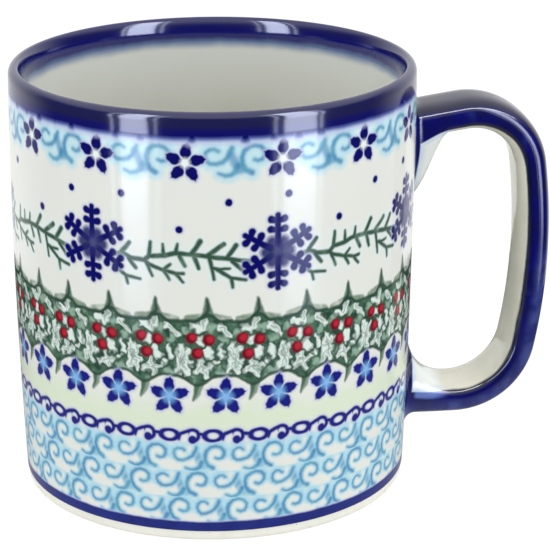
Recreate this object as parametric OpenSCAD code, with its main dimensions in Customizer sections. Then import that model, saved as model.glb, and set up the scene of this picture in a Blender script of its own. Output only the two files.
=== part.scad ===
// Straight-sided stoneware mug with a strap handle.
// Frame: +Z up, +X towards the handle, origin on the cup's axis in the plane that the foot rests on.
// Millimetres. The clay pieces are separate solids, and each coat of glaze is a thin skin on them.

/* [Cup] */
// Height of the cup from the foot to the top of the rim
cup_h = 95.5; // [90:0.5:105]
// Outer radius just under the rim
rim_r = 44.5; // [44:0.1:46]
// Outer radius at half height, where the wall is fullest
belly_r = 44.6; // [44:0.1:46]
// Outer radius at the foot
foot_r = 43.2; // [42.5:0.1:44]
// Radius of the drinking bore, a true cylinder
bore_r = 41.3; // [40:0.1:41.5]
// Height of the inside floor above the table
floor_z = 6; // [5:0.5:8]
// Radius of the hollow corner between the inside floor and the bore
corner_r = 7; // [4:0.5:10]

/* [Foot] */
// Height of the bevel round the foot
bevel_h = 0.8; // [0.4:0.1:1.2]
// Radius of the shallow recess inside the foot ring
recess_r = 38; // [34:0.5:40]
// Depth of that recess
recess_h = 1.5; // [1:0.1:2]
// Size of the sloped corner between the recess's wall and its ceiling
recess_corner = 0.6; // [0.4:0.1:1]

/* [Glaze] */
// Thickness of every coat of glaze
glaze_t = 0.2; // [0.15:0.05:0.3]
// Height at which the decorated coat starts above the bare foot
bare_h = 2.3; // [1.5:0.1:4]
// Depth of the cobalt band below the rim, outside the cup
band_out = 4.6; // [3:0.1:8]
// Depth of the cobalt band below the rim, inside the cup
band_in = 5.5; // [3:0.1:8]

/* [Handle] */
// Width of the strap, across the fingers
strap_w = 15.5; // [13:0.5:18]
// Thickness of the strap
strap_t = 7.1; // [6.5:0.1:8]
// Height at which the strap's middle line leaves the cup's upper wall
upper_z = 80.7; // [78:0.1:82]
// Upward slope of the upper arm, in degrees
upper_slope = 8; // [4:0.5:12]
// Length of the straight upper arm, from the wall
upper_l = 11.7; // [11:0.1:15]
// Bend radius of the upper outer corner
upper_bend_r = 13.8; // [12:0.1:16]
// Radius of the long bowed grip
grip_r = 130; // [110:1:180]
// Angle from vertical at which the grip starts, leaning out
grip_top_lean = 7.8; // [5:0.5:10]
// Angle from vertical at which the grip ends, leaning in
grip_end_lean = 11.3; // [9:0.1:12]
// Bend radius of the lower outer corner
lower_bend_r = 15.7; // [14:0.1:17]

/* [Handle joints] */
// How far out from the wall the clay tongue under the upper arm reaches
tongue_out = 7.5; // [5:0.5:10]
// How far down the wall that tongue reaches, below the arm
tongue_down = 13.5; // [8:0.5:15]
// How far out from the wall the hollow above the lower arm reaches
lower_hollow_out = 11; // [5:0.5:11]
// How far up the wall that hollow reaches, above the arm
lower_hollow_up = 14; // [8:0.5:16]
// Radius of the small hollow on the outer side of each arm
outer_hollow_r = 2.5; // [1.5:0.1:4]
// Radius of the small hollow along each arm's two edges
side_hollow_r = 2; // [1:0.1:3]

/* [Hidden] */

wall_steps = 14;
arc_steps = 10;
past_cut = 1;
joint_depth = 2.5;
lip_r = (rim_r - bore_r) / 2;
lip_c = (rim_r + bore_r) / 2;
lip_z = cup_h - lip_r;
floor_middle = (floor_z + recess_h) / 2;

// The strap's rounded section: points round it, and how square its corners are (2 is an ellipse).
ring_n = 24;
squareness = 2.7;
bend_steps = 11;
grip_steps = 6;
flare_steps = 7;

// Headings of the strap's middle line, in degrees from +X: out along the upper arm, down the grip, back in.
out_a = upper_slope;
down_a = -90 + grip_top_lean;
lean_a = -90 - grip_end_lean;
back_a = -180;

function along(a) = [cos(a), sin(a)];
function right_of(a) = [sin(a), -cos(a)];

// Points of the middle line in the handle's plane, [distance from the axis, height].
arm_start = [wall_r(upper_z), upper_z];
arm_end = arm_start + upper_l * along(out_a);
upper_c = arm_end + upper_bend_r * right_of(out_a);
grip_c = upper_c + (grip_r - upper_bend_r) * right_of(down_a);
lower_c = grip_c - (grip_r - lower_bend_r) * right_of(lean_a);
lower_end = lower_c - lower_bend_r * right_of(back_a);
lower_l = lower_end[0] - wall_r(lower_end[1]);

stoneware = [0.90, 0.87, 0.79];
off_white = [0.88, 0.89, 0.87];
cobalt = [0.08, 0.08, 0.40];
cream = [0.83, 0.82, 0.74];

// Outer radius of the glazed wall at height z: a shallow curve through the foot, the belly and the rim.
function wall_r(z) =
    let (t = z / cup_h)
    foot_r * (1 - t) * (1 - 2 * t) + belly_r * 4 * t * (1 - t) + rim_r * t * (2 * t - 1);

function outside_line(inset) = [
    for (i = [0 : wall_steps]) let (z = bevel_h + (lip_z - bevel_h) * i / wall_steps) [wall_r(z) - inset, z]
];

function lip_line(inset) = [
    for (i = [1 : arc_steps - 1]) let (a = 180 * i / arc_steps)
        [lip_c + (lip_r - inset) * cos(a), lip_z + (lip_r - inset) * sin(a)]
];

function corner_line(inset) = [
    for (i = [0 : arc_steps]) let (a = -90 * i / arc_steps)
        [bore_r - corner_r + (corner_r + inset) * cos(a), floor_z + corner_r + (corner_r + inset) * sin(a)]
];

// Half section of the cup, with every glazed surface set back by inset.
module cup_section(inset) {
    polygon(concat(
        [[wall_r(bevel_h) - inset - bevel_h / 2, 0]],
        outside_line(inset),
        lip_line(inset),
        [[bore_r + inset, lip_z]],
        corner_line(inset),
        [[0, floor_z - inset], [0, recess_h + inset], [recess_r - recess_corner, recess_h + inset],
         [recess_r, recess_h - recess_corner + inset], [recess_r, 0]]
    ));
}

module glaze_section() {
    difference() {
        cup_section(0);
        cup_section(glaze_t);
    }
}

// Solid of revolution inside the cup's outer surface, for cutting the handle's ends to the wall.
module cup_outside(inset) {
    rotate([0, 0, 90]) rotate_extrude($fn = 96)
        polygon(concat([[0, bevel_h]], outside_line(inset), [[0, lip_z]]));
}

// A station is [distance from the axis, height, heading]. These run along one bend of the middle line.
function bend_stations(centre, radius, from_a, to_a, steps) = [
    for (i = [0 : steps]) let (a = from_a + (to_a - from_a) * i / steps, p = centre - radius * right_of(a))
        [p[0], p[1], a]
];

// The grip: both outer corners and the bowed stretch between them. Each end meets a straight arm.
grip_stations = concat(
    bend_stations(upper_c, upper_bend_r, out_a, down_a, bend_steps),
    [for (i = [1 : grip_steps - 1]) bend_stations(grip_c, grip_r, down_a, lean_a, grip_steps)[i]],
    bend_stations(lower_c, lower_bend_r, lean_a, back_a, bend_steps)
);

// Section through the strap at one station, with half its width and its half thicknesses out and in.
function ring(station, half_w, half_out, half_in) = [
    for (k = [0 : ring_n - 1]) let (
        a = 360 * k / ring_n,
        y = half_w * sign(cos(a)) * pow(abs(cos(a)), 2 / squareness),
        q = (sin(a) > 0 ? half_out : half_in) * sign(sin(a)) * pow(abs(sin(a)), 2 / squareness)
    ) [station[0] - q * sin(station[2]), y, station[1] + q * cos(station[2])]
];

function plain_ring(station, inset) =
    ring(station, strap_w / 2 - inset, strap_t / 2 - inset, strap_t / 2 - inset);

// How much clay a quarter-ellipse hollow adds to the strap's side at a distance u from the wall.
function hollow(out, up, u) = u >= out ? 0 : up * (1 - sqrt(1 - pow((out - max(u, 0)) / out, 2)));

// The same for the tongue: steep in its middle, blunt where it meets the wall, and soft where it meets the arm.
function tongue(u) = let (t = min(max(u, 0) / tongue_out, 1)) tongue_down * (1 - t / 4 - t * t * (9 - 6 * t) / 4);

function flared_ring(station, u, inner) = ring(
    station,
    strap_w / 2 + hollow(side_hollow_r, side_hollow_r, u),
    strap_t / 2 + hollow(outer_hollow_r, outer_hollow_r, u),
    strap_t / 2 + inner
);

// Distances from the wall at which the flared rings stand, closer together near the wall.
function flare_u(length) = concat(
    [-joint_depth],
    [for (i = [0 : flare_steps]) length * pow(i / flare_steps, 2)]
);

function reversed(list) = [for (i = [len(list) - 1 : -1 : 0]) list[i]];

function arm_stations(foot, outward_a, heading, distances) = [
    for (u = distances) let (p = foot + u * along(outward_a)) [p[0], p[1], heading]
];

// Both arms are listed in the direction of the middle line: out of the upper wall, into the lower wall.
upper_u = flare_u(upper_l);
lower_u = reversed(flare_u(lower_l));
lower_foot = lower_end + lower_l * along(back_a);
upper_stations = arm_stations(arm_start, out_a, out_a, upper_u);
lower_stations = arm_stations(lower_foot, back_a + 180, back_a, lower_u);

function flat(list) = [for (a = list, b = a) b];

function quad(a, b, c, d) = [[a, b, c], [a, c, d]];

function side_faces(rings, first, outward) = flat([
    for (i = [0 : rings - 2], k = [0 : ring_n - 1]) let (
        a = first + i * ring_n + k,
        b = first + i * ring_n + (k + 1) % ring_n
    ) outward ? quad(a, a + ring_n, b + ring_n, b) : quad(a, b, b + ring_n, a + ring_n)
]);

function end_faces(outer, inner, outward) = flat([
    for (k = [0 : ring_n - 1]) let (n = (k + 1) % ring_n)
        outward ? quad(outer + k, outer + n, inner + n, inner + k) : quad(outer + k, inner + k, inner + n, outer + n)
]);

// A closed solid through a list of rings.
module skin(rings) {
    last = (len(rings) - 1) * ring_n;
    polyhedron(points = flat(rings), faces = concat(
        side_faces(len(rings), 0, true),
        [[for (k = [0 : ring_n - 1]) k]],
        [[for (k = [ring_n - 1 : -1 : 0]) last + k]]
    ));
}

// A closed tube between two lists of rings.
module tube(outer, inner) {
    n = len(outer) * ring_n;
    last = n - ring_n;
    polyhedron(points = concat(flat(outer), flat(inner)), faces = concat(
        side_faces(len(outer), 0, true),
        side_faces(len(inner), n, false),
        end_faces(0, n, true),
        end_faces(last, n + last, false)
    ));
}

upper_flare = [for (i = [0 : len(upper_u) - 1]) flared_ring(upper_stations[i], upper_u[i], tongue(upper_u[i]))];
lower_flare = [
    for (i = [0 : len(lower_u) - 1])
        flared_ring(lower_stations[i], lower_u[i], hollow(lower_hollow_out, lower_hollow_up, lower_u[i]))
];

module cup_body() {
    color(stoneware) rotate_extrude($fn = 96) cup_section(glaze_t);
}

// The strap's clay, from wall to wall through both joints.
module handle_strap() {
    stations = concat(
        [for (i = [0 : len(upper_u) - 2]) upper_stations[i]],
        grip_stations,
        [for (i = [1 : len(lower_u) - 1]) lower_stations[i]]
    );
    color(stoneware) difference() {
        skin([for (s = stations) plain_ring(s, glaze_t)]);
        cup_outside(glaze_t);
    }
}

// The slip and clay worked round the strap's upper end, where it is stuck to the wall.
module upper_handle_joint() {
    color(cobalt) difference() {
        tube(upper_flare, [for (s = upper_stations) plain_ring(s, glaze_t)]);
        cup_outside(glaze_t);
    }
}

// The same at the strap's lower end.
module lower_handle_joint() {
    color(cobalt) difference() {
        tube(lower_flare, [for (s = lower_stations) plain_ring(s, glaze_t)]);
        cup_outside(glaze_t);
    }
}

// The decorated coat on the outside wall, with openings where the handle's two joints pass through.
module wall_glaze() {
    color(off_white) difference() {
        rotate([0, 0, 90]) rotate_extrude($fn = 96) intersection() {
            glaze_section();
            translate([lip_c, bare_h]) square([rim_r, cup_h - band_out - bare_h]);
        }
        skin(upper_flare);
        skin(lower_flare);
    }
}

// The cobalt coat over the rim, down both sides.
module rim_glaze() {
    color(cobalt) rotate_extrude($fn = 96) intersection() {
        glaze_section();
        union() {
            translate([lip_c, cup_h - band_out]) square([rim_r, band_out + past_cut]);
            translate([0, cup_h - band_in]) square([lip_c, band_in + past_cut]);
        }
    }
}

// The clear coat that lines the cup.
module liner_glaze() {
    color(cream) rotate_extrude($fn = 96) intersection() {
        glaze_section();
        translate([0, floor_middle]) square([lip_c, cup_h - band_in - floor_middle]);
    }
}

// The clear coat in the recess under the cup.
module base_glaze() {
    color(cream) rotate_extrude($fn = 96) intersection() {
        glaze_section();
        square([recess_r, floor_middle]);
    }
}

// The cobalt coat round the strap, from joint to joint.
module handle_glaze() {
    color(cobalt) tube([for (s = grip_stations) plain_ring(s, 0)],
                       [for (s = grip_stations) plain_ring(s, glaze_t)]);
}

cup_body();
handle_strap();
upper_handle_joint();
lower_handle_joint();
wall_glaze();
rim_glaze();
liner_glaze();
base_glaze();
handle_glaze();
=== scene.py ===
"""Straight-sided stoneware mug with painted bands of winter motifs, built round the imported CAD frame."""

import math

import bpy
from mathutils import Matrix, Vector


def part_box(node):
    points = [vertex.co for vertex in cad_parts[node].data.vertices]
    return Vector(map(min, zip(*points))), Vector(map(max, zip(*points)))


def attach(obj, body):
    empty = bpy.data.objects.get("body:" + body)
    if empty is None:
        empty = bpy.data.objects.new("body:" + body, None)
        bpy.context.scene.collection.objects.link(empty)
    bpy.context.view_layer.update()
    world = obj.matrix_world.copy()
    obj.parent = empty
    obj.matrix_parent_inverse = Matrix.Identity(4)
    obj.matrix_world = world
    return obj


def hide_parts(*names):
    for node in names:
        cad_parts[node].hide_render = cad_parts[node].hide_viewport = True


MM = 0.001
TAU = 2 * math.pi

# ---------------------------------------------------------------- the frame

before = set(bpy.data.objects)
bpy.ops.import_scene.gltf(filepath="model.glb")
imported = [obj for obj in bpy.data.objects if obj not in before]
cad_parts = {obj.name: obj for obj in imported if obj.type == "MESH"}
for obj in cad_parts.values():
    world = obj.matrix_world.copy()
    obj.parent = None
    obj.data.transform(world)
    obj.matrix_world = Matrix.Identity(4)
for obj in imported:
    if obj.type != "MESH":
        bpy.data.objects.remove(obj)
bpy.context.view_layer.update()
scene = bpy.context.scene

# The cup's sizes in millimetres, as in the CAD.
CUP_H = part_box("rim_glaze")[1][2] / MM
RIM_R, BELLY_R, FOOT_R = 44.5, 44.6, 43.2
BORE_R = 41.3
FLOOR_Z, CORNER_R = 6.0, 7.0
BEVEL_H, RECESS_R, RECESS_H, RECESS_CORNER = 0.8, 38.0, 1.5, 0.6
GLAZE_T = 0.2
BARE_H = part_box("wall_glaze")[0][2] / MM
WALL_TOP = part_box("wall_glaze")[1][2] / MM
LINER_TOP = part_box("liner_glaze")[1][2] / MM
LIP_R, LIP_C = (RIM_R - BORE_R) / 2, (RIM_R + BORE_R) / 2
LIP_Z = CUP_H - LIP_R

# How far the mouth is pulled towards the handle, and the height from which the wall gives way.
BULGE, BULGE_FROM = 0.6, 45.0
# The lip is thinned inside, over this depth, so that its inner side faces a little upward.
LIP_TAPER = 5.2

STRAP_W, STRAP_T = 15.5, 7.1
# How square the strap's section is (2 is an ellipse): along the strap, and where it meets the wall.
SQUARE_STRAP, SQUARE_ROOT = 2.9, 2.7
UPPER_Z, UPPER_SLOPE, UPPER_L = 80.7, 8.0, 11.7
UPPER_BEND_R, GRIP_R, LOWER_BEND_R = 13.8, 130.0, 15.7
GRIP_TOP_LEAN, GRIP_END_LEAN = 7.8, 11.3
TONGUE_OUT, TONGUE_DOWN = 7.5, 13.5
LOWER_HOLLOW_OUT, LOWER_HOLLOW_UP = 11.0, 14.0
OUTER_HOLLOW, SIDE_HOLLOW = 2.5, 2.0

# The azimuth from which the mug is seen, and that its front is measured from, in degrees.
FRONT = -96.4


def wall_r(z):
    t = z / CUP_H
    return FOOT_R * (1 - t) * (1 - 2 * t) + BELLY_R * 4 * t * (1 - t) + RIM_R * t * (2 * t - 1)


# ---------------------------------------------------------------- meshes


def add_piece(name, points, faces, replaces):
    """A smooth mesh from points in millimetres, riding on the mug's one body."""
    mesh = bpy.data.meshes.new(name)
    mesh.from_pydata([[c * MM for c in p] for p in points], [], faces)
    mesh.shade_smooth()
    piece = bpy.data.objects.new(name, mesh)
    scene.collection.objects.link(piece)
    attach(piece, "root")
    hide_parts(*replaces)
    return piece


def bulge(z, angle):
    """How far the mouth is out of round: the wall spreads a little where the handle pulls on it."""
    rise = min(max((z - BULGE_FROM) / (CUP_H - BULGE_FROM), 0), 1)
    return BULGE * rise * rise * (3 - 2 * rise) * ((1 + math.cos(angle)) / 2) ** 2


def revolve(name, profile, replaces, steps=288):
    """The profile, a list of (radius, height), turned round Z. Its material is on the right of its course."""
    points, rings = [], []
    for r, z in profile:
        if r < 1e-6:
            rings.append([len(points)] * steps)
            points.append((0, 0, z))
        else:
            rings.append(list(range(len(points), len(points) + steps)))
            for i in range(steps):
                a = TAU * i / steps
                wide = r + (bulge(z, a) if r > RECESS_R else 0)
                points.append((wide * math.cos(a), wide * math.sin(a), z))
    faces = []
    for low, high in zip(rings, rings[1:]):
        for i in range(steps):
            j = (i + 1) % steps
            corners = [low[i], low[j], high[j], high[i]]
            faces.append([c for k, c in enumerate(corners) if c != corners[k - 1]])
    return add_piece(name, points, faces, replaces)


def arc(cx, cz, r, from_deg, to_deg, steps):
    turn = [math.radians(from_deg + (to_deg - from_deg) * i / steps) for i in range(steps + 1)]
    return [(cx + r * math.cos(a), cz + r * math.sin(a)) for a in turn]


def wall_line(z0, z1, inset, steps):
    heights = [z0 + (z1 - z0) * i / steps for i in range(steps + 1)]
    return [(wall_r(z) - inset, z) for z in heights]


def corner_line(inset, steps=16):
    return arc(BORE_R - CORNER_R, FLOOR_Z + CORNER_R, CORNER_R + inset, 0, -90, steps)


def recess_line(inset):
    top = RECESS_H + inset
    return [(0, top), (RECESS_R - RECESS_CORNER, top), (RECESS_R, top - RECESS_CORNER)]


def lip_taper(inset):
    """The inner side of the lip: a quarter of a tall ellipse."""
    turns = [math.radians(90 * i / 16) for i in range(1, 16)]
    return [(LIP_C - (LIP_R - inset) * math.sin(t), CUP_H - LIP_TAPER + (LIP_TAPER - inset) * math.cos(t))
            for t in turns]


# The clay from the foot's softened inner edge, under the foot, up the wall, over the lip and down inside.
clay_line = (
    [(RECESS_R, 0.25), (RECESS_R + 0.1, 0.07), (RECESS_R + 0.3, 0)]
    + [(wall_r(0) - GLAZE_T - BEVEL_H, 0)]
    + arc(wall_r(0) - GLAZE_T - BEVEL_H, BEVEL_H, BEVEL_H, -75, 0, 6)
    + wall_line(BEVEL_H + 0.3, LIP_Z, GLAZE_T, 40)
    + arc(LIP_C, LIP_Z, LIP_R - GLAZE_T, 8, 90, 6)
    + lip_taper(GLAZE_T)
    + [(BORE_R + GLAZE_T, CUP_H - LIP_TAPER)]
    + corner_line(GLAZE_T)
    + [(0, FLOOR_Z - GLAZE_T)]
)
clay = revolve("cup_clay", clay_line + recess_line(GLAZE_T), ["cup_body"])

bead = arc(wall_r(BARE_H) - GLAZE_T, BARE_H + GLAZE_T, GLAZE_T, -90, 0, 4)
wall = revolve(
    "wall_coat", bead + wall_line(BARE_H + 2 * GLAZE_T, WALL_TOP, 0, 176), ["wall_glaze"],
)
rim = revolve(
    "rim_coat",
    wall_line(WALL_TOP, LIP_Z, 0, 6) + arc(LIP_C, LIP_Z, LIP_R, 6, 90, 14) + lip_taper(0)
    + [(BORE_R, CUP_H - LIP_TAPER), (BORE_R, LINER_TOP)],
    ["rim_glaze"],
)
LINER_STEPS = 60
liner_step = (LINER_TOP - FLOOR_Z - CORNER_R) / LINER_STEPS
liner = revolve(
    "liner_coat",
    [(BORE_R, LINER_TOP - liner_step * i) for i in range(LINER_STEPS)] + corner_line(0)
    + [(BORE_R - CORNER_R - i, FLOOR_Z) for i in range(4, 33, 4)] + [(0, FLOOR_Z)],
    ["liner_glaze"],
)
base = revolve("base_coat", recess_line(0), ["base_glaze"])

# ---------------------------------------------------------------- handle


def along(a):
    return math.cos(math.radians(a)), math.sin(math.radians(a))


def right_of(a):
    return math.sin(math.radians(a)), -math.cos(math.radians(a))


def step_from(p, d, length):
    return p[0] + d[0] * length, p[1] + d[1] * length


def bend(centre, radius, from_a, to_a, steps):
    turns = [from_a + (to_a - from_a) * i / steps for i in range(steps + 1)]
    return [(*step_from(centre, right_of(a), -radius), a) for a in turns]


OUT_A, DOWN_A, LEAN_A, BACK_A = UPPER_SLOPE, -90 + GRIP_TOP_LEAN, -90 - GRIP_END_LEAN, -180
arm_start = (wall_r(UPPER_Z), UPPER_Z)
arm_end = step_from(arm_start, along(OUT_A), UPPER_L)
upper_c = step_from(arm_end, right_of(OUT_A), UPPER_BEND_R)
grip_c = step_from(upper_c, right_of(DOWN_A), GRIP_R - UPPER_BEND_R)
lower_c = step_from(grip_c, right_of(LEAN_A), LOWER_BEND_R - GRIP_R)
lower_end = step_from(lower_c, right_of(BACK_A), -LOWER_BEND_R)
lower_foot = (wall_r(lower_end[1]), lower_end[1])
LOWER_L = lower_end[0] - lower_foot[0]

# How many points there are round the strap.
RING_N = 96


def hollow(out, up, u):
    """How much clay a quarter-ellipse hollow adds to the strap's side at a distance u from the wall."""
    return 0 if u >= out else up * (1 - math.sqrt(1 - ((out - max(u, 0)) / out) ** 2))


def tongue(u):
    """The same for the tongue under the upper arm: blunt at the wall, then steep, and soft at its end."""
    t = min(max(u, 0) / TONGUE_OUT, 1)
    return TONGUE_DOWN * (1 - t / 4 - t * t * (9 - 6 * t) / 4)


def section(half_w, half_out, half_in, squareness=SQUARE_STRAP):
    """Section of the strap, with half its width and its half thicknesses out and in."""
    ring = []
    power = 2 / squareness
    for k in range(RING_N):
        c, s = math.cos(TAU * k / RING_N), math.sin(TAU * k / RING_N)
        y = half_w * math.copysign(abs(c) ** power, c)
        q = (half_out if s > 0 else half_in) * math.copysign(abs(s) ** power, s)
        ring.append((y, q))
    return ring


def flare_section(u, inner):
    """The strap's section at a distance u from the wall, with its hollows and the clay added inside."""
    squareness = SQUARE_ROOT + (SQUARE_STRAP - SQUARE_ROOT) * min(max(u, 0) / TONGUE_OUT, 1)
    return section(STRAP_W / 2 + hollow(SIDE_HOLLOW, SIDE_HOLLOW, u),
                   STRAP_T / 2 + hollow(OUTER_HOLLOW, OUTER_HOLLOW, u), STRAP_T / 2 + inner, squareness)


def flare_ring(foot, outward_a, heading, length, u, inner):
    """A ring of the flare at a distance u from the wall. It follows the wall's own curve to meet it."""
    ring = flare_section(u, inner)
    ox, oz = along(outward_a)
    nx, nz = -math.sin(math.radians(heading)), math.cos(math.radians(heading))
    points = []
    for y, q in ring:
        t = 0.0
        for _ in range(6):
            z = foot[1] + t * oz + q * nz
            t = (math.sqrt(wall_r(z) ** 2 - y * y) - foot[0] - q * nx) / ox
        t += u * (length - t) / length
        points.append((foot[0] + t * ox + q * nx, y, foot[1] + t * oz + q * nz))
    return points


FLARE_STEPS, BEND_STEPS = 26, 26
# Each arm starts this far inside the wall. The bends and the grip all count as this far from it for the paint.
IN_THE_WALL, FAR_FROM_WALL = -1.2, 20.0
arm_shares = [IN_THE_WALL] + [(i / FLARE_STEPS) ** 2.2 for i in range(FLARE_STEPS)]
rings, wall_gap, strap_depth = [], [], []


def add_flare(foot, outward_a, heading, length, shares, clay_under):
    """Add the rings of an arm that spreads out to the wall. A share below 0 is a depth inside the wall."""
    for share in shares:
        u = share * length if share > 0 else share
        rings.append(flare_ring(foot, outward_a, heading, length, u, clay_under(u)))
        wall_gap.extend([max(u, 0)] * RING_N)
        strap_depth.extend(q for y, q in flare_section(u, clay_under(u)))


add_flare(arm_start, OUT_A, OUT_A, UPPER_L, arm_shares, tongue)
grip = (
    bend(upper_c, UPPER_BEND_R, OUT_A, DOWN_A, BEND_STEPS)
    + bend(grip_c, GRIP_R, DOWN_A, LEAN_A, BEND_STEPS)[1:-1]
    + bend(lower_c, LOWER_BEND_R, LEAN_A, BACK_A, BEND_STEPS)
)
plain = section(STRAP_W / 2, STRAP_T / 2, STRAP_T / 2)
for x, z, a in grip:
    s, c = math.sin(math.radians(a)), math.cos(math.radians(a))
    rings.append([(x - q * s, y, z + q * c) for y, q in plain])
    wall_gap.extend([FAR_FROM_WALL] * RING_N)
    strap_depth.extend(q for y, q in plain)
add_flare(
    lower_foot, 0, BACK_A, LOWER_L, reversed(arm_shares),
    lambda u: hollow(LOWER_HOLLOW_OUT, LOWER_HOLLOW_UP, u),
)

faces = []
for i in range(len(rings) - 1):
    this, following = i * RING_N, (i + 1) * RING_N
    for k in range(RING_N):
        beside = (k + 1) % RING_N
        faces.append([this + k, following + k, following + beside, this + beside])
handle = add_piece(
    "handle_coat", [p for ring in rings for p in ring], faces,
    ["handle_strap", "handle_glaze", "upper_handle_joint", "lower_handle_joint"],
)
# For the paint: how far each point stands from the wall, and from the strap's middle line, in millimetres.
# The second is positive on the outer face and negative on the finger face.
for name, values in (("wall_gap", wall_gap), ("strap_depth", strap_depth)):
    handle.data.attributes.new(name, "FLOAT", "POINT").data.foreach_set("value", values)

# ---------------------------------------------------------------- brushes
# A material is painted by code: numbers and places in its node tree are handled like Python numbers.

canvas = None
# The wall's radius, for distances along it.
WALL_R = 44.5


class Num:
    """A number, place or colour in the node tree being built. Sums with it add maths nodes to the tree."""

    def __init__(self, socket):
        self.socket = socket

    def __add__(self, other):
        return calc("ADD", self, other)

    def __sub__(self, other):
        return calc("SUBTRACT", self, other)

    def __rsub__(self, other):
        return calc("SUBTRACT", other, self)

    def __mul__(self, other):
        return calc("MULTIPLY", self, other)

    __radd__, __rmul__ = __add__, __mul__


def link(value, socket):
    if isinstance(value, Num):
        canvas.links.new(value.socket, socket)
    elif value is not None:
        socket.default_value = value


def node(kind, *values, out=0, **settings):
    made = canvas.nodes.new("ShaderNode" + kind)
    for key, value in settings.items():
        setattr(made, key, value)
    for value, socket in zip(values, made.inputs):
        link(value, socket)
    return Num(made.outputs[out])


def calc(operation, *values, clamp=False):
    return node("Math", *values, operation=operation, use_clamp=clamp)


def vector(operation, *values):
    values = [(*v, 0) if isinstance(v, tuple) and len(v) == 2 else v for v in values]
    number = operation in ("DOT_PRODUCT", "DISTANCE", "LENGTH")
    return node("VectorMath", *values, operation=operation, out=int(number))


def blend(value, low, high, start=0.0, end=1.0):
    """A smooth step from start to end as the value goes from low to high."""
    return node("MapRange", value, low, high, start, end, interpolation_type="SMOOTHSTEP")


def inside(distance, soft=0.13):
    """Cover of a shape, from the signed distance to its edge."""
    return blend(distance, soft, -soft)


def seen(r, g, b):
    """The colour of a paint that is seen as this sRGB colour under the studio's light."""
    lin = [c / 12.92 if c < 0.04045 else ((c + 0.055) / 1.055) ** 2.4 for c in (r / 255, g / 255, b / 255)]
    return (*[min(c / 0.93, 0.95) for c in lin], 1)


def lay(ground, paint, cover):
    """Lay one paint over another, by cover."""
    made = canvas.nodes.new("ShaderNodeMix")
    made.data_type = "RGBA"
    for value, socket in ((cover, made.inputs[0]), (ground, made.inputs[6]), (paint, made.inputs[7])):
        link(value, socket)
    return Num(made.outputs[2])


def union(*shapes):
    total = shapes[0]
    for shape in shapes[1:]:
        total = calc("MINIMUM", total, shape)
    return total


def spot(p, centre, r):
    return vector("DISTANCE", p, centre) - r


def line(p, a, b, ra, rb):
    """Distance to a brush stroke from a to b, with its half-width at each end."""
    dx, dy = b[0] - a[0], b[1] - a[1]
    n = dx * dx + dy * dy
    reach = vector("DOT_PRODUCT", p, (dx / n, dy / n))
    share = calc("SUBTRACT", reach, (a[0] * dx + a[1] * dy) / n, clamp=True)
    away = vector("DISTANCE", p, vector("MULTIPLY_ADD", (dx, dy), share, a))
    if ra != rb:
        away = calc("MULTIPLY_ADD", share, ra - rb, away)
    return away - ra


def stroke(p, points, ra, rb=None):
    """Distance to a brush stroke through several points, whose half-width goes from ra to rb."""
    n = len(points) - 1
    r = [ra + ((ra if rb is None else rb) - ra) * i / n for i in range(n + 1)]
    return union(*[line(p, points[i], points[i + 1], r[i], r[i + 1]) for i in range(n)])


def curl(p, centre, r, half_w, gap_at=None, gap=0):
    """Distance to a circle's outline, left open over gap degrees to each side of the direction gap_at."""
    ring = calc("ABSOLUTE", vector("DISTANCE", p, centre) - r) - half_w
    if gap_at is None:
        return ring
    nx, ny = math.cos(math.radians(gap_at)), math.sin(math.radians(gap_at))
    cut = centre[0] * nx + centre[1] * ny + r * math.cos(math.radians(gap))
    return calc("MAXIMUM", ring, vector("DOT_PRODUCT", p, (nx, ny)) - cut)


def fold(p, count, turned, mirror=False):
    """The plane folded into one of count equal sectors, with X along the sector's middle."""
    x, y, _ = parts(p)
    step = TAU / count
    a = calc("MULTIPLY_ADD", calc("ARCTAN2", y, x), 1 / step, 0.5 - math.radians(turned) / step)
    a = calc("MULTIPLY_ADD", calc("FRACT", a), step, -step / 2)
    r = vector("LENGTH", p)
    side = calc("SINE", a)
    if mirror:
        side = calc("ABSOLUTE", side)
    return node("CombineXYZ", r * calc("COSINE", a), r * side, 0.0)


def parts(p):
    made = canvas.nodes.new("ShaderNodeSeparateXYZ")
    link(p, made.inputs[0])
    return [Num(socket) for socket in made.outputs]


def object_place():
    """The place on the object in millimetres."""
    return vector("MULTIPLY", node("TexCoord", out="Object"), (1 / MM, 1 / MM, 1 / MM))


class Wall:
    """The wall as a material sees it: height, turn from the front, and a hand's unsteadiness."""

    def __init__(self, unsteady=0.3):
        self.place = object_place()
        self.x, self.y, self.z = parts(self.place)
        f = math.radians(FRONT)
        across = vector("DOT_PRODUCT", self.place, (-math.sin(f), math.cos(f), 0))
        towards = vector("DOT_PRODUCT", self.place, (math.cos(f), math.sin(f), 0))
        self.turn = calc("ARCTAN2", across, towards) * (1 / TAU)
        self.wobble = vector("MULTIPLY_ADD", self.noise(2.2, 1, out=1), (unsteady, unsteady),
                             (-unsteady / 2, -unsteady / 2))

    def noise(self, size, detail=2, out=0):
        return node("TexNoise", self.place, None, 1 / size, detail, out=out)

    def cell(self, count, first, height, jitter=0.0):
        """The plane of one of the count of motifs round the wall, with its origin at the motif's centre."""
        pitch = TAU * WALL_R / count
        x = calc("MULTIPLY_ADD", self.turn, count, 0.5 - first / pitch)
        here = node("CombineXYZ", calc("MULTIPLY_ADD", calc("FRACT", x), pitch, -pitch / 2 - jitter / 2),
                    self.z - (height + jitter / 2), 0.0)
        if jitter:
            number = calc("FLOORED_MODULO", calc("FLOOR", x), count) + height
            chance = node("TexWhiteNoise", None, number, out=1, noise_dimensions="1D")
            here = vector("MULTIPLY_ADD", chance, (jitter, jitter), here)
        return vector("ADD", here, self.wobble)


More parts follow.
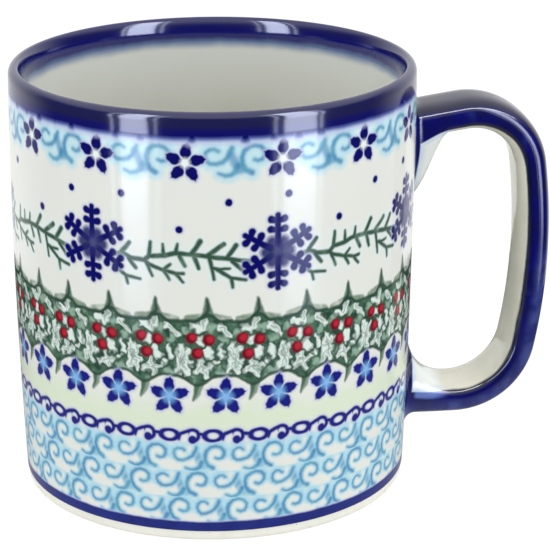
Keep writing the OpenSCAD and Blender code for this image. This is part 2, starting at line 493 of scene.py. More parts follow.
def material(name, roughness, paint, relief=0.0, relief_size=6.0, shine=0.5):
    """A glossy material whose colour is what the function paint gives."""
    global canvas
    m = bpy.data.materials.new(name)
    m.use_nodes = True
    canvas = m.node_tree
    shader = canvas.nodes["Principled BSDF"]
    shader.inputs["Roughness"].default_value = roughness
    shader.inputs["Specular IOR Level"].default_value = shine
    link(paint(), shader.inputs["Base Color"])
    if relief:
        bump = canvas.nodes.new("ShaderNodeBump")
        bump.inputs["Distance"].default_value = relief * MM
        link(node("TexNoise", object_place(), None, 1 / relief_size, 1.0), bump.inputs["Height"])
        canvas.links.new(bump.outputs[0], shader.inputs["Normal"])
    return m


# ---------------------------------------------------------------- paints

# How many of each motif go round the wall, and the height of their centres.
BORDER_N, BORDER_FLOWER_Z, BORDER_WAVE_Z = 14, 85.4, 86.0
SNOW_N, SNOWFLAKE_Z, SPRIG_Z = 7, 65.7, 64.5
DOT_N, DOT_R = 8, 0.8
HOLLY_N, BERRY_Z, PALM_Z = 26, 47.0, 42.6
ARCH_N, ARCH_Z, HANGING_FLOWER_Z = 24, 38.1, 34.1
CHAIN_N, CHAIN_Z = 29, 24.9
WAVE_N, WAVE_ROWS, WAVE_ROW_H, TOP_WAVE_Z = 22, 3, 6.3, 20.2
SEA_TOP = 23.2
FOOT_LINE_Z, FOOT_LINE_HALF = 3.4, 1.25
# The lower edge of the cobalt over the rim, and the drops along it.
DIP_Z, DROP_N, DROP_Z = 90.5, 51, 91.1
# Where the wall changes from one material to the next.
BAND_LIMITS = (79.5, 57.0, 29.0)
# The cobalt brushed round the handle's joints: its middle height, and how far it goes up, down and out.
UPPER_BRUSHED = (UPPER_Z, 6.0, 17.0, 0.9)
LOWER_BRUSHED = (lower_foot[1], 17.5, 6.0, 0.8)

GROUND = seen(226, 229, 224)
WHITE = seen(236, 242, 240)
LEAF_WHITE = seen(218, 233, 226)
COBALT = seen(8, 9, 98)
COBALT_DEEP = seen(27, 28, 70)
COBALT_THIN = seen(70, 85, 165)
LILAC = seen(186, 190, 226)
MINT = seen(208, 235, 239)
MINT_DEEP = seen(176, 218, 232)
WATER = seen(164, 212, 230)
# The pale blue of a painted reflection on the handle's lower arm.
PALE_BLUE_REFLECTION = seen(104, 124, 196)
COBALT_DARK = seen(14, 16, 46)
COBALT_SOFT = seen(70, 82, 146)
EDGE_BLUE = seen(92, 116, 158)
COBALT_LINE = seen(14, 42, 132)
COBALT_BRIGHT = seen(16, 22, 122)
TEAL = seen(88, 156, 186)
SLATE = seen(34, 36, 104)
SLATE_PALE = seen(60, 60, 124)
PINE = seen(52, 84, 68)
HOLLY = seen(72, 106, 86)
HOLLY_DARK = seen(42, 72, 58)
HOLLY_PALE = seen(146, 176, 158)
BERRY = seen(180, 40, 56)
BERRY_DARK = seen(112, 16, 36)
SKY_BLUE = seen(112, 172, 226)
YELLOW_WASH = seen(216, 228, 204)
STEEL = seen(70, 136, 180)
CREAM = seen(208, 207, 190)
FOOT_CREAM = seen(244, 244, 232)
HOLLY_GREY = seen(128, 148, 130)
PALE_BLUE = seen(196, 216, 236)
LINER = seen(211, 214, 208)
# Painted shade deep inside the cup; under the foot, a random tone of the clear glaze.
LINER_SHADE_AND_TONE = seen(186, 183, 166)
STRAP_CREAM = seen(222, 219, 202)
STRAP_WARM = seen(211, 208, 190)
IRON_SPECK = seen(120, 95, 70)


def flower(p, colour, heart, heart_colour, size, turned, petal_colour):
    """A five-petalled flower, each petal a pressed drop of paint with its tip outward."""
    q = fold(p, 5, turned)
    petal = union(line(q, (1.25 * size, 0), (2.25 * size, 0.1), 0.6 * size, 1.2 * size),
                  line(q, (2.25 * size, 0.1), (3.1 * size, 0.05), 1.2 * size, 0.96 * size),
                  line(q, (3.1 * size, 0.05), (4.15 * size, -0.1), 0.96 * size, 0.16 * size))
    colour = lay(colour, LILAC, inside(petal - 0.35, 0.5) * 0.75)
    colour = lay(colour, petal_colour, inside(petal, 0.22))
    return lay(colour, heart_colour, blend(vector("LENGTH", p), heart * 1.6, heart * 0.4) * 0.85)


def wave(p):
    """A small curl with a crest, a large curl beside it and a hook under them, and then the line between."""
    crest = stroke(p, [(-3.0, 1.35), (-3.7, 1.8), (-4.5, 1.75), (-5.2, 1.2), (-5.4, 0.4), (-5.1, -0.4),
                       (-4.4, -0.95), (-3.3, -0.95), (-2.2, -0.6), (-1.4, 0.1), (-0.85, 1.0), (-0.45, 2.0)],
                   0.34, 0.44)
    breaker = stroke(p, [(3.1, -2.8), (2.0, -2.2), (1.4, -1.1), (1.3, 0.2), (1.7, 1.3), (2.6, 2.1),
                         (3.7, 2.3), (4.8, 2.0), (5.5, 1.25), (5.5, 0.35), (5.0, -0.4), (4.2, -0.65),
                         (3.6, -0.4)], 0.52, 0.36)
    under = stroke(p, [(0.6, -1.4), (0.1, -2.5), (-0.7, -3.1), (-1.8, -3.25), (-2.9, -2.8)], 0.6, 0.3)
    return union(crest, breaker, under), stroke(p, [(-0.75, 0.9), (0.1, -0.9), (0.9, -1.9)], 0.3, 0.6)


def rim_edge(wall, colour):
    """The cobalt dipped over the rim: a soft thin edge, with darker drops in a row along it."""
    drops = wall.cell(DROP_N, 1.5, DROP_Z, jitter=0.6)
    edge = union(DIP_Z - wall.z + wall.noise(9) * 0.8 - 0.4, spot(drops, (0, 0), 0.9))
    colour = lay(colour, LILAC, blend(edge, 2.2, 1.0) * 0.6)
    colour = lay(colour, COBALT_THIN, blend(edge, 1.2, 0.1) * 0.9)
    colour = lay(colour, COBALT, inside(edge, 0.5))
    return lay(colour, COBALT_DEEP, blend(wall.z, 91.5, 93.0) * 0.85)


def joint_edge(wall, colour, height, half_up, half_down, reach):
    """The cobalt brushed on the wall along both sides of a handle joint, pointed above and below."""
    half_w = STRAP_W / 2 + SIDE_HOLLOW
    up = wall.z - height
    far = calc("MAXIMUM", up * (1 / half_up), up * (-1 / half_down))
    across = calc("ABSOLUTE", wall.y) * (1 / half_w)
    ring = calc("POWER", across, SQUARE_ROOT) + calc("POWER", far, SQUARE_ROOT)
    ring = calc("POWER", ring, 1 / SQUARE_ROOT)
    behind = blend(wall.x, 5, 0, 0, 50)
    gap = (ring - 1) * half_w + behind + wall.noise(3) * 0.5
    return lay(colour, COBALT, inside(gap - calc("MULTIPLY", blend(far, 1.0, 0.2), reach), 0.2))


def ground(wall):
    """The pale body under its clear glaze."""
    return lay(GROUND, YELLOW_WASH, wall.noise(14) * 0.16)


def paint_border():
    """The top of the wall: blue flowers, and scrolls between them, under the cobalt rim."""
    wall = Wall()
    colour = ground(wall)
    first_flower, flower_to_wave, shrink = -5.44, 10.1, 0.89
    p = wall.cell(BORDER_N, first_flower + flower_to_wave, BORDER_WAVE_Z, jitter=0.4)
    waves, deep = wave(vector("MULTIPLY", p, (shrink, shrink, 1)))
    colour = lay(colour, MINT, blend(wall.z, 82.2, 85.5, 0.0, 0.75) + blend(wall.z, 87.0, 90.0, 0.0, 0.25))
    colour = lay(colour, MINT_DEEP, blend(waves, 1.7, 0.0) * 0.85)
    colour = lay(colour, STEEL, blend(deep, 1.0, -0.2) * 0.7)
    colour = lay(colour, lay(TEAL, STEEL, blend(wall.noise(3), 0.35, 0.65)), inside(waves, 0.42) * 0.9)
    p = wall.cell(BORDER_N, first_flower, BORDER_FLOWER_Z, jitter=0.5)
    colour = flower(p, colour, 1.0, WHITE, 1.02, 85, COBALT)
    colour = rim_edge(wall, colour)
    return joint_edge(wall, colour, *UPPER_BRUSHED)


def paint_rim():
    """Cobalt over the lip. Inside, its edge is soft and has no drops."""
    wall = Wall()
    outside = rim_edge(wall, lay(ground(wall), MINT, blend(wall.z, 87.0, 90.0)))
    over = calc("SUBTRACT", wall.z, LINER_TOP) + wall.noise(7) * 1.2 - 0.6
    within = lay(EDGE_BLUE, COBALT, blend(over, -0.2, 1.3))
    within = lay(within, COBALT_DEEP, blend(over, 2.5, 4.5) * 0.6)
    radius = vector("LENGTH", vector("MULTIPLY", wall.place, (1, 1, 0)))
    return lay(outside, within, blend(radius, LIP_C + 0.4, LIP_C - 0.6))


def paint_snow():
    """The open band: dots, six-armed snowflakes, and a sprig of needles between each two of them."""
    wall = Wall()
    colour = ground(wall)
    p = wall.cell(SNOW_N, -6.6, SPRIG_Z, jitter=0.5)
    sprig = union(
        stroke(p, [(-16.0, -0.6), (-12.5, 0.1), (-10.7, -0.7), (-7.7, -0.9), (-6.6, 0.1), (-3.5, 0.4),
                   (-1.3, 1.0), (2.5, 0.9), (5.6, 0.5), (10.0, -0.1), (12.5, -0.6), (15.5, -1.0)], 0.5),
        *[line(p, a, b, 0.5, tip) for a, b, tip in (
            ((-6.7, 0.1), (-6.4, 3.2), 0.36), ((-3.6, 0.5), (-3.7, 2.9), 0.26),
            ((-1.0, 1.0), (-0.7, 3.1), 0.26), ((2.3, 1.1), (4.1, 3.8), 0.51),
            ((5.6, 0.8), (8.8, 3.1), 0.51), ((9.7, 0.4), (11.4, 2.8), 0.51),
            ((-12.8, 0.4), (-11.0, 2.6), 0.46), ((-0.2, 0.4), (0.8, -1.6), 0.41),
            ((2.8, 0.4), (3.7, -2.1), 0.41), ((10.6, -0.6), (12.8, -2.8), 0.41),
            ((-11.3, -0.7), (-9.7, -2.8), 0.41),
        )],
        stroke(p, [(-7.7, -0.9), (-6.7, -1.8), (-3.8, -2.7), (-1.0, -3.4), (0.5, -3.3)], 0.46, 0.36),
        *[line(p, a, b, 0.44, 0.3) for a, b in (
            ((-7.2, -1.5), (-6.1, -4.2)), ((-3.5, -2.6), (-2.2, -1.4)), ((-3.5, -3.0), (-2.5, -4.7)),
            ((-1.0, -3.5), (0.4, -5.2)), ((10.4, -4.5), (10.7, -6.4)), ((-11.9, -4.7), (-11.6, -6.4)),
        )],
        stroke(p, [(5.9, 0.1), (6.4, -2.1), (6.8, -4.5)], 0.46, 0.34),
        stroke(p, [(6.4, -2.0), (8.1, -2.4), (10.0, -2.2)], 0.44, 0.3),
        stroke(p, [(7.5, -2.4), (10.3, -4.3), (13.4, -4.8)], 0.44, 0.36),
        stroke(p, [(-14.8, -2.9), (-11.9, -4.7), (-8.8, -5.1)], 0.44, 0.34),
    )
    sprig = sprig - 0.1 * wall.noise(3)
    colour = lay(colour, MINT, blend(sprig, 1.1, 0.1) * 0.4)
    colour = lay(colour, lay(PINE, HOLLY_PALE, blend(wall.noise(4), 0.5, 0.75) * 0.45), inside(sprig, 0.3))
    p = wall.cell(SNOW_N, 13.4, SNOWFLAKE_Z, jitter=0.5)
    q = fold(p, 6, 30, mirror=True)
    arm = union(
        line(q, (1.5, 0), (8.0, 0), 0.72, 0.66),
        line(q, (4.7, 0), (4.95, 1.5), 0.6, 0.84),
        line(q, (6.7, 0), (7.1, 1.4), 0.62, 0.84),
    )
    heart = union(spot(q, (2.3, 1.25), 1.2), spot(p, (0, 0), 2.9))
    colour = lay(colour, LILAC, inside(union(arm, heart) - 0.35, 0.5) * 0.6)
    colour = lay(colour, COBALT, inside(arm, 0.25))
    slate = lay(SLATE, SLATE_PALE, blend(spot(p, (0.5, 0.4), 0), 1.9, 0.3))
    colour = lay(colour, slate, inside(heart, 0.7) * 0.95)
    colour = lay(colour, HOLLY_DARK, inside(line(p, (-2.6, -0.4), (2.2, 0.3), 0.2, 0.2), 0.9) * 0.35)
    for first, height in ((-31.6, 76.9), (-19.3, 77.9), (-6.9, 71.1)):
        dot = spot(wall.cell(DOT_N, first, height, jitter=0.8), (0, 0), DOT_R)
        colour = lay(colour, LILAC, inside(dot - 0.3, 0.35) * 0.5)
        colour = lay(colour, COBALT, inside(dot, 0.2))
    return joint_edge(wall, colour, *UPPER_BRUSHED)


def paint_holly():
    """The full band: pointed holly with white leaves and berries, and blue flowers that hang under it."""
    wall = Wall(0.45)
    wash = blend(wall.z + wall.noise(6) * 6 - 3, 34, 29) * blend(wall.noise(4), 0.2, 0.6, 0.7, 1.0)
    colour = lay(ground(wall), YELLOW_WASH, wash)
    tones = wall.noise(2.2)

    # Its lower edge is a row of arches over the flowers, with a curved leaf tip between each two.
    low = wall.cell(ARCH_N, -3.5, ARCH_Z, jitter=0.5)
    x, y, _ = parts(low)
    below = blend(calc("ABSOLUTE", x), 4.4, 0.0, 0.5, -1.5) - y
    tip = stroke(low, [(0.3, -1.0), (0.1, -3.2), (-0.9, -5.0)], 1.1, 0.2)
    rib = stroke(low, [(-0.1, -1.2), (-0.4, -3.2), (-1.0, -4.8)], 0.6, 0.15)
    colour = lay(colour, HOLLY_GREY, inside(tip, 0.3))
    colour = lay(colour, HOLLY, inside(rib, 0.3))

    # Its upper edge has a tall point over each group of berries and a pale leaf on each side of it.
    p = wall.cell(HOLLY_N, -1.4, BERRY_Z, jitter=0.4)
    x, y, _ = parts(p)
    above = y - blend(calc("ABSOLUTE", x), 2.8, 0.2, 3.9, 5.3)
    sides = union(stroke(p, [(-4.0, 4.3), (-1.4, 4.8)], 0.9), stroke(p, [(1.5, 4.6), (4.3, 4.2)], 1.0, 0.8))
    colour = lay(colour, HOLLY_GREY, inside(sides, 0.35) * blend(tones, 0.25, 0.6, 0.35, 1.0))
    tip = stroke(p, [(0.1, 4.2), (0, 6.3), (-0.1, 9.0)], 1.8, 0.22)
    rib = stroke(p, [(-0.8, 4.8), (0.1, 6.3), (0.0, 8.6)], 0.42, 0.25)
    colour = lay(colour, HOLLY, inside(tip, 0.35) * 0.9)
    colour = lay(colour, HOLLY_DARK, inside(rib, 0.4))
    body = calc("MAXIMUM", above, below)
    green = lay(HOLLY, HOLLY_PALE, blend(tones, 0.56, 0.74) * 0.6)
    green = lay(green, HOLLY_DARK, blend(tones, 0.52, 0.36))
    colour = lay(colour, green, inside(body, 0.25))

    # White leaves with crinkled edges, each with a dark outline and dark veins.
    crinkle = vector("MULTIPLY_ADD", wall.noise(1.2, 0, out=1), (1.7, 1.7), (-0.85, -0.85))
    leaf = vector("ADD", p, crinkle)
    palm = vector("ADD", wall.cell(HOLLY_N, -6.7, PALM_Z, jitter=0.4), crinkle)
    leaves = union(
        stroke(leaf, [(-0.4, 4.3), (-1.0, 2.3)], 0.55, 0.8),
        line(leaf, (-3.0, 2.9), (-1.3, 2.1), 0.75, 0.7),
        stroke(leaf, [(2.5, 2.8), (3.5, 1.8), (5.0, 0.6)], 0.8, 0.5),
        spot(leaf, (-1.7, -0.4), 1.0),
        line(leaf, (-0.1, -2.6), (0.2, -3.8), 0.9, 0.95),
        line(leaf, (2.5, -1.6), (3.1, -4.0), 0.4, 0.75),
        spot(leaf, (1.9, -5.3), 0.6),
        line(leaf, (-1.4, -5.0), (-1.1, -6.6), 0.5, 1.0),
        line(leaf, (-1.2, -6.6), (-2.8, -7.4), 0.8, 0.5),
        line(leaf, (-1.0, -6.7), (0.8, -6.2), 0.75, 0.5),
        line(leaf, (-1.0, -6.7), (-0.1, -8.6), 0.8, 0.55),
        line(palm, (0.0, -0.3), (-0.4, 2.9), 1.25, 0.65),
        line(palm, (0.1, 0.2), (1.3, 2.1), 0.8, 0.55),
        line(palm, (0.0, -0.3), (-1.2, -2.8), 1.1, 0.6),
        line(palm, (0.1, -0.4), (0.7, -3.2), 1.0, 0.6),
        line(palm, (0.2, -0.2), (1.6, -0.9), 0.8, 0.5),
    )
    pale = union(spot(leaf, (0.8, 2.4), 0.9), spot(leaf, (3.4, -0.2), 0.9), spot(leaf, (4.2, -6.4), 0.7),
                 spot(leaf, (-4.4, 1.6), 0.8), line(leaf, (2.2, -7.4), (4.0, -8.2), 0.7, 0.5))
    colour = lay(colour, HOLLY_DARK, inside(leaves - 0.5, 0.4) * inside(body, 0.2) * 0.9)
    colour = lay(colour, HOLLY_PALE, inside(pale, 0.5) * inside(body + 0.3, 0.3) * 0.9)
    white = lay(LEAF_WHITE, HOLLY_PALE, blend(wall.noise(2.4), 0.54, 0.74) * 0.7)
    veins = union(
        *[line(palm, (0.0, -0.4), end, 0.2, 0.06) for end in (
            (-0.3, 2.3), (0.95, 1.6), (-0.85, -2.2), (0.5, -2.6), (1.3, -0.8), (-0.9, 0.9))],
        *[line(leaf, (-1.0, -6.4), end, 0.2, 0.06) for end in (
            (-1.3, -5.0), (-2.4, -7.2), (0.5, -6.2), (-0.3, -8.0))],
        line(leaf, (-0.5, 4.4), (-1.0, 2.3), 0.18, 0.06),
        line(leaf, (2.7, 2.7), (4.4, 1.0), 0.18, 0.06),
    )
    white = lay(white, HOLLY_DARK, inside(veins, 0.3) * 0.7)
    colour = lay(colour, white, inside(leaves + 0.05, 0.42) * inside(body + 0.4, 0.3))
    outline = union(calc("ABSOLUTE", above) - 0.4, calc("ABSOLUTE", below) - 0.34)
    colour = lay(colour, HOLLY_DARK, inside(outline, 0.35) * inside(body - 0.5, 0.2) * 0.9)

    # Three berries in each group, darker round the edge.
    centres = ((-3.4, 0.1), (0.25, -0.35), (-2.2, -3.4))
    berries = union(*[spot(p, c, 1.16) for c in centres])
    lights = union(*[spot(p, (x + 0.25, y + 0.15), 0.4) for x, y in centres])
    colour = lay(colour, BERRY_DARK, inside(berries - 0.15, 0.35))
    colour = lay(colour, BERRY, blend(lights, 0.75, 0.0))
    p = wall.cell(ARCH_N, 2.2, HANGING_FLOWER_Z, jitter=0.5)
    colour = flower(p, colour, 1.5, SKY_BLUE, 1.03, 88, COBALT_BRIGHT)
    return joint_edge(wall, colour, *LOWER_BRUSHED)


def paint_base():
    """The lower wall: a chain, rows of waves and a cobalt line."""
    wall = Wall()
    colour = lay(ground(wall), YELLOW_WASH, blend(wall.z, 24.5, 26.5) * 0.9)

    # Rows of waves. Each row is the one above it, moved down and to the left.
    first, row_shift = 9.13, 3.95
    pitch = TAU * WALL_R / WAVE_N
    row = calc("FLOOR", (TOP_WAVE_Z - wall.z) * (1 / WAVE_ROW_H) + 0.45)
    row = calc("MAXIMUM", calc("MINIMUM", row, WAVE_ROWS - 1), 0)
    x = calc("MULTIPLY_ADD", wall.turn, WAVE_N, 0.5 - first / pitch)
    x = calc("MULTIPLY_ADD", row, row_shift / pitch, x)
    y = calc("MULTIPLY_ADD", row, WAVE_ROW_H, wall.z - TOP_WAVE_Z)
    p = node("CombineXYZ", calc("MULTIPLY_ADD", calc("FRACT", x), pitch, -pitch / 2), y, 0.0)
    p = vector("ADD", p, vector("MULTIPLY", wall.wobble, (2.0, 2.0)))
    waves, deep = wave(p)
    foam = union(
        stroke(p, [(3.2, 1.0), (2.5, 0.0), (2.8, -1.2), (4.2, -1.75), (6.6, -2.1)], 0.75, 1.0),
        stroke(p, [(-6.6, -2.2), (-4.4, -2.2), (-2.4, -1.75), (-1.5, -1.7)], 1.0, 0.75),
        spot(p, (3.9, 0.85), 0.95), spot(p, (-3.9, 0.45), 1.0), spot(p, (-1.9, 1.5), 0.4),
    )
    sea = inside(wall.z - SEA_TOP - wall.noise(4) * 0.8, 0.5)
    water = lay(WATER, MINT_DEEP, blend(wall.noise(3.5), 0.4, 0.65))
    cover = calc("MULTIPLY", blend(foam, -0.4, 1.3), blend(waves, 1.7, 0.1, 0.45, 0.95))
    colour = lay(colour, water, cover * sea)
    colour = lay(colour, STEEL, blend(deep, 1.1, -0.2) * 0.7 * sea)
    colour = lay(colour, WATER, blend(waves, 0.8, 0.0) * 0.7 * sea)
    brushed = lay(TEAL, STEEL, blend(wall.noise(3), 0.3, 0.6))
    colour = lay(colour, brushed, inside(waves + 0.07, 0.4) * sea * 0.95)

    # The chain: an oval link, and a hooked one between each two.
    p = wall.cell(CHAIN_N, -0.3, CHAIN_Z, jitter=0.3)
    oval = curl(vector("MULTIPLY", p, (1, 1.6, 1)), (0, 0), 1.85, 0.0) * 0.75 - 0.5
    q = wall.cell(CHAIN_N, 4.9, CHAIN_Z, jitter=0.3)
    hook = union(
        curl(q, (-0.1, 0), 1.3, 0.46, -150, 60),
        spot(q, (-0.15, -1.0), 0.95),
        stroke(q, [(-2.9, 0.3), (-1.8, 0.8), (-0.5, 1.25)], 0.46),
        line(q, (1.1, 0.4), (2.6, 0.2), 0.45, 0.45),
        line(q, (-2.9, 0.2), (-3.1, -1.0), 0.5, 0.25),
    )
    chain = union(oval, hook)
    colour = lay(colour, LILAC, inside(chain - 0.35, 0.5) * 0.7)
    colour = lay(colour, COBALT_BRIGHT, inside(chain, 0.25))

    band = calc("ABSOLUTE", wall.z - FOOT_LINE_Z) - FOOT_LINE_HALF + wall.noise(5) * 0.5 - 0.25
    colour = lay(colour, LILAC, inside(band - 0.3, 0.4) * 0.7)
    colour = lay(colour, lay(COBALT, COBALT_LINE, wall.noise(4)), inside(band, 0.25))
    return joint_edge(wall, colour, *LOWER_BRUSHED)


def paint_handle():
    """Cobalt on the outer face and sides, clear glaze on the finger face, and a cobalt toe by the wall."""
    wall = Wall()
    gap = node("Attribute", out="Fac", attribute_name="wall_gap")
    depth = node("Attribute", out="Fac", attribute_name="strap_depth")
    shake = wall.noise(7) * 0.8 - 0.4

    # The cobalt ends near the edge of the finger face, and further in by the wall and on the lower arm.
    upper = blend(wall.z, 45, 50)
    lean = calc("MULTIPLY", blend(gap, 7.5, 0.0, 0, 1.6), upper) + blend(gap, 6.0, 0.0, 0, 0.5)
    edge = (depth * -1) - 2.1 - lean - blend(wall.z, 70, 34, 0, 0.45) + shake * 0.6
    toe = calc("MAXIMUM", blend(wall.z, 64, 78, 0, 1.5), blend(wall.z, 34, 24, 0, 1.4))
    cobalt = union(edge, gap - toe + shake * 0.5)

    near = blend(gap, 10.0, 6.0)
    colour = lay(STRAP_CREAM, STRAP_WARM, blend(wall.noise(11), 0.35, 0.65))
    colour = lay(colour, WHITE, near * 0.85)
    colour = lay(colour, PALE_BLUE, blend(cobalt, 1.5, 0.1) * near * 0.7)

    # Thin and thick places, a painted reflection in pale blue on the lower arm by the wall, a softer blue on
    # the low side, dark edges, and painted shade on the outer face.
    blue = lay(COBALT, COBALT_THIN, blend(wall.noise(6), 0.6, 0.85) * 0.35)
    blue = lay(blue, COBALT_DARK, blend(wall.noise(5), 0.35, 0.62) * 0.45)
    # Painted reflection: a pale blue patch on the side of the lower arm near the wall, just inside the
    # cobalt's edge.
    pale_reflection = calc("MULTIPLY", blend(edge, -1.9, -0.9), blend(gap, 10, 6))
    pale_reflection = calc("MULTIPLY", pale_reflection, blend(gap, 1.6, 2.6))
    blue = lay(blue, PALE_BLUE_REFLECTION, calc("MULTIPLY", pale_reflection, blend(wall.z, 40, 30)))
    soft = calc("MULTIPLY", blend(depth, -1.2, 1.4), blend(wall.noise(4), 0.35, 0.65, 0.25, 0.75))
    soft = calc("MULTIPLY", soft, blend(depth, 3.4, 2.7, 0.2, 1.0))
    blue = lay(blue, COBALT_SOFT, calc("MULTIPLY", soft, blend(wall.z, 54, 44)))
    blue = lay(blue, COBALT_DARK, calc("MULTIPLY", blend(edge, -1.1, -0.6), blend(gap, 8, 12, 0, 0.9)))
    # Painted shade: the strap's outer face is painted darker, most of all on the upper arm.
    blue = lay(blue, COBALT_DARK, blend(depth, 2.0, 2.7) * blend(wall.z, 50, 70, 0.25, 0.9))
    return lay(colour, blue, inside(cobalt, 0.2))


def paint_liner():
    """Clear glaze inside the cup, with painted shade that darkens it towards the floor, under the cobalt's
    soft edge.
    """
    wall = Wall()
    # Painted shade: the glaze is painted darker and warmer from near the top down to the floor.
    colour = lay(LINER, LINER_SHADE_AND_TONE, blend(wall.z + wall.noise(30) * 16 - 8, 88, 50))
    edge = blend(wall.z + wall.noise(7) * 1.2, LINER_TOP - 1.6, LINER_TOP + 0.9)
    return lay(colour, EDGE_BLUE, edge * 0.95)


def paint_bare():
    """Bare fired clay, with specks of iron."""
    wall = Wall()
    colour = lay(FOOT_CREAM, CREAM, wall.noise(3, 4) * 0.5)
    return lay(colour, IRON_SPECK, blend(wall.noise(0.8, 1), 0.74, 0.8) * 0.4)


def paint_clear():
    """Clear glaze over the clay."""
    return lay(CREAM, LINER_SHADE_AND_TONE, Wall().noise(8))


def divide(piece, limits):
    """Give each face of the piece the material of its height, which changes at these limits, downwards."""
    for face in piece.data.polygons:
        face.material_index = sum(face.center.z / MM < limit for limit in limits)


# The height and the size of the waviness of a glaze, in millimetres.
RELIEF, FAINT_RELIEF, RELIEF_SIZE = 0.06, 0.05, 9.0
for piece, mats in (
    (clay, [material("bare_clay", 0.75, paint_bare, 0.04, 0.7)]),
    (wall, [material(name, 0.11, paint, RELIEF, RELIEF_SIZE) for name, paint in (
        ("border", paint_border), ("snow", paint_snow), ("holly", paint_holly), ("waves", paint_base))]),
    (rim, [material("cobalt_rim", 0.1, paint_rim, FAINT_RELIEF, RELIEF_SIZE, 0.9)]),
    (liner, [material("liner", 0.13, paint_liner, FAINT_RELIEF, RELIEF_SIZE)]),
    (base, [material("base", 0.2, paint_clear, FAINT_RELIEF, RELIEF_SIZE)]),
    (handle, [material("strap", 0.1, paint_handle, RELIEF, RELIEF_SIZE, 0.6)]),
):
    for mat in mats:
        piece.data.materials.append(mat)
divide(wall, BAND_LIMITS)

# ---------------------------------------------------------------- camera, table and lights


def front_point(right, towards, up):
    """A point given in millimetres as seen from the front: right of the axis, towards the viewer, and up."""
    a = math.radians(FRONT)
    return [
        MM * (towards * math.cos(a) - right * math.sin(a)),
        MM * (towards * math.sin(a) + right * math.cos(a)),
        MM * up,
    ]


# The camera stands this far in front of the axis and this high, and looks down and a little past the axis.
CAMERA_DISTANCE, CAMERA_UP = 508.4, 221.5
LOOK_DOWN, LOOK_ROLL, LOOK_ASIDE = 19.08, 0.06, -1.59
camera = bpy.data.objects.new("camera", bpy.data.cameras.new("camera"))
scene.collection.objects.link(camera)
scene.camera = camera
camera.data.sensor_width = 36
camera.data.lens = 155.5
camera.location = front_point(0, CAMERA_DISTANCE, CAMERA_UP)
camera.rotation_euler = [math.radians(a) for a in (90 - LOOK_DOWN, LOOK_ROLL, FRONT + 90 + LOOK_ASIDE)]
camera.data.clip_start, camera.data.clip_end = 0.01, 20


def light_tree(owner, output):
    """An empty node tree with an emission shader wired to its output."""
    global canvas
    owner.use_nodes = True
    canvas = owner.node_tree
    canvas.nodes.clear()
    shader = canvas.nodes.new("ShaderNodeEmission" if output == "Material" else "ShaderNodeBackground")
    canvas.links.new(shader.outputs[0], canvas.nodes.new("ShaderNodeOutput" + output).inputs["Surface"])
    return shader


# The lit table close round the foot, seen only as a veil in the glaze. It fades away from the mug.
HOLE_R, NEAR_R, FAR_R, BELOW, TABLE_N = 0.02, 0.043, 0.17, 0.0001, 96
mesh = bpy.data.meshes.new("table_glow")
mesh.from_pydata(
    [(r * math.cos(TAU * i / TABLE_N), r * math.sin(TAU * i / TABLE_N), -BELOW) for r in (HOLE_R, FAR_R)
     for i in range(TABLE_N)],
    [], [(i, (i + 1) % TABLE_N, TABLE_N + (i + 1) % TABLE_N, TABLE_N + i) for i in range(TABLE_N)],
)
table = bpy.data.objects.new("table_glow", mesh)
scene.collection.objects.link(table)
table.visible_camera = table.visible_diffuse = table.visible_shadow = False
mesh.materials.append(bpy.data.materials.new("table_glow"))
glow = light_tree(mesh.materials[0], "Material")
from_axis = vector("LENGTH", node("TexCoord", out="Object"))
link(blend(from_axis, FAR_R, NEAR_R) * 0.45, glow.inputs["Strength"])


def mirrored(bearing, distance):
    """The point, seen from above, that the viewer sees mirrored in the wall at a bearing from the front."""
    sine, cosine = math.sin(math.radians(bearing)), math.cos(math.radians(bearing))
    at = (WALL_R * sine, WALL_R * cosine)
    ray = (at[0], at[1] - CAMERA_DISTANCE)
    into = 2 * (ray[0] * sine + ray[1] * cosine)
    away = (ray[0] - into * sine, ray[1] - into * cosine)
    share = distance / math.hypot(*away)
    return at[0] + away[0] * share, at[1] + away[1] * share


# How far the windows stand from the wall, and the colour of their light.
WINDOW_DISTANCE = 500
WINDOW_COLOUR = (0.73, 0.79, 1.0)


def window(name, from_bearing, to_bearing, strength, bottom, top):
    """A window that is seen only in the glaze, mirrored between two bearings on the wall."""
    (r0, t0), (r1, t1) = mirrored(from_bearing, WINDOW_DISTANCE), mirrored(to_bearing, WINDOW_DISTANCE)
    light = bpy.data.lights.new(name, "AREA")
    light.shape = "RECTANGLE"
    light.size, light.size_y = math.hypot(r1 - r0, t1 - t0) * MM, (top - bottom) * MM
    light.color = WINDOW_COLOUR
    light.energy = strength * math.pi * light.size * light.size_y
    lamp = bpy.data.objects.new(name, light)
    scene.collection.objects.link(lamp)
    lamp.location = front_point((r0 + r1) / 2, (t0 + t1) / 2, (bottom + top) / 2)
    # The light shines along its own -Z: here level, and square to the line between the two points.
    turn = math.degrees(math.atan2(t1 - t0, r1 - r0))
    lamp.rotation_euler = (math.radians(90), 0, math.radians(FRONT + 90 - turn))
    lamp.visible_camera = lamp.visible_diffuse = False


# Rows of panes, brighter and brighter upwards. The wall mirrors the lower ones, and the lip the highest.
for row, bottom, top, gain in (
    ("low", -140, -100, 0.8), ("middle", -100, -75, 1.35), ("high", -75, 45, 2.2), ("top", 45, 700, 2.8),
):
    for pane, from_bearing, to_bearing, strength in (
        ("left", -24.8, -17.2, 3.3), ("left_side", -27.8, -26.9, 2.0), ("left_end", -15.4, -14.5, 1.6),
        ("right", 18.8, 28.0, 3.4), ("right_side", 29.0, 30.0, 2.2), ("right_end", 15.8, 17.0, 1.6),
    ):
        window(f"{row}_{pane}_pane", from_bearing, to_bearing, strength * gain, bottom, top)

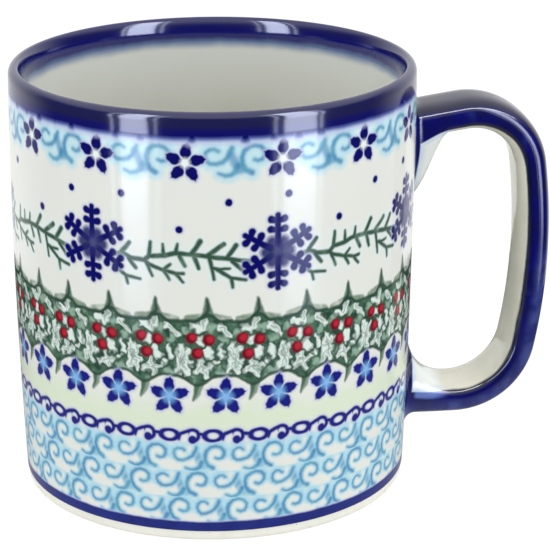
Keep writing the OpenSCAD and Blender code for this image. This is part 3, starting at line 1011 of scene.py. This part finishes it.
# A thin light high up in front. Only the handle mirrors it, along the edge of its outer face.
light = bpy.data.lights.new("edge_strip", "AREA")
light.shape = "RECTANGLE"
light.size, light.size_y = 1.2, 0.06
light.energy = 16.0 * math.pi * light.size * light.size_y
strip = bpy.data.objects.new("edge_strip", light)
scene.collection.objects.link(strip)
strip.location = front_point(60, 190, 460)
strip.rotation_euler = (math.radians(26), 0, math.radians(FRONT + 90))
strip.visible_camera = strip.visible_diffuse = False
handle_only = bpy.data.collections.new("handle_only")
handle_only.objects.link(handle)
strip.light_linking.receiver_collection = handle_only


# How wide a piece of the sky each soft light fills, in degrees.
FILL_SPREAD = 100


def soft_fill(name, bearing, elevation, strength):
    """A very soft light from far away, at a bearing to the viewer's right. The glaze doesn't mirror it."""
    light = bpy.data.lights.new(name, "SUN")
    light.energy = strength * math.pi
    light.angle = math.radians(FILL_SPREAD)
    lamp = bpy.data.objects.new(name, light)
    scene.collection.objects.link(lamp)
    lamp.rotation_euler = (math.radians(90 - elevation), 0, math.radians(FRONT + 90 + bearing))
    lamp.visible_camera = lamp.visible_glossy = False


soft_fill("left_fill", -62, 25, 0.58)
soft_fill("right_fill", 62, 25, 0.63)
soft_fill("front_fill", 0, 25, 0.02)
soft_fill("table_fill", 0, -75, 0.15)

# A white tent: bright above, behind, and far below, where the table is, and dark low down in front.
# Seen directly, it is plain white all round.
world = bpy.data.worlds.new("studio")
scene.world = world
sky = light_tree(world, "World")
look = node("TexCoord", out="Generated")
front = math.radians(FRONT)
forward = vector("DOT_PRODUCT", look, (math.cos(front), math.sin(front), 0))
upward = vector("DOT_PRODUCT", look, (0, 0, 1))
bright = calc("MAXIMUM", blend(upward, 0.25, 0.7), blend(forward, -0.1, -0.8))
bright = calc("MAXIMUM", bright, blend(upward, -0.42, -0.7, 0.0, 0.75))
directly = node("LightPath", out="Is Camera Ray")
link(calc("MAXIMUM", bright * 1.1 + 0.06, directly * 1.3), sky.inputs["Strength"])

scene.view_settings.view_transform = "Standard"
